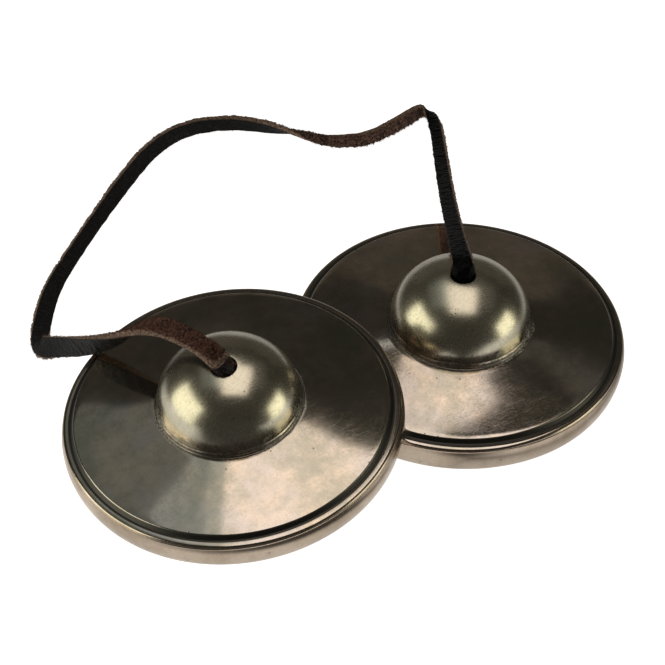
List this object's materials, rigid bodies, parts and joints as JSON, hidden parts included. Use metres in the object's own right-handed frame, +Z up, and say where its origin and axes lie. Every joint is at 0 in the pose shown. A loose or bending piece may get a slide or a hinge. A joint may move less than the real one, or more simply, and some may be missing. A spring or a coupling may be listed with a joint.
{
  "type": "tingsha cymbals",
  "caption": "Pair of small domed bronze hand cymbals joined by a leather thong that is knotted inside each boss; one lies flat and the other leans on it.",
  "frame": {"origin": "on the table, under the middle of the two cymbals' box", "axes": "+X from the front, leaning cymbal to the rear, flat one; +Y towards the thong's loop behind them; +Z up"},
  "size_m": [0.1209, 0.1176, 0.0299],
  "materials": {
    "bronze": "aged, semi-polished cast bell metal",
    "leather": "black grain on one face, brown suede on the other"
  },
  "bodies": {
    "rear_cymbal": {"rear_cymbal": "bronze"},
    "rear_end": {"thong_rear_end": "leather", "rear_knot": "leather"},
    "thong": {"thong_loop": "leather"},
    "front_end": {"thong_front": "leather", "front_knot": "leather"},
    "front_cymbal": {"front_cymbal": "bronze"}
  },
  "joints": [
    {"name": "rear_spin", "type": "hinge", "parent": "rear_cymbal", "child": "rear_end", "pos_m": [0.02556, 0, 0], "axis": [0, 0, 1], "continuous": true},
    {"name": "rear_tilt", "type": "hinge", "parent": "rear_end", "child": "thong", "pos_m": [0.02556, 0, 0.0222], "axis": [0.76, 0.65, 0], "range_deg": [0, 60]},
    {"name": "thong_fold", "type": "hinge", "parent": "thong", "child": "front_end", "pos_m": [-0.0428, 0.0358, 0.0057], "axis": [-0.9667, -0.2559, 0], "range_deg": [0, 80]},
    {"name": "front_spin", "type": "hinge", "parent": "front_end", "child": "front_cymbal", "pos_m": [-0.02614, -0.00145, 0.00412], "axis": [-0.1324, 0, 0.9912], "continuous": true}
  ]
}
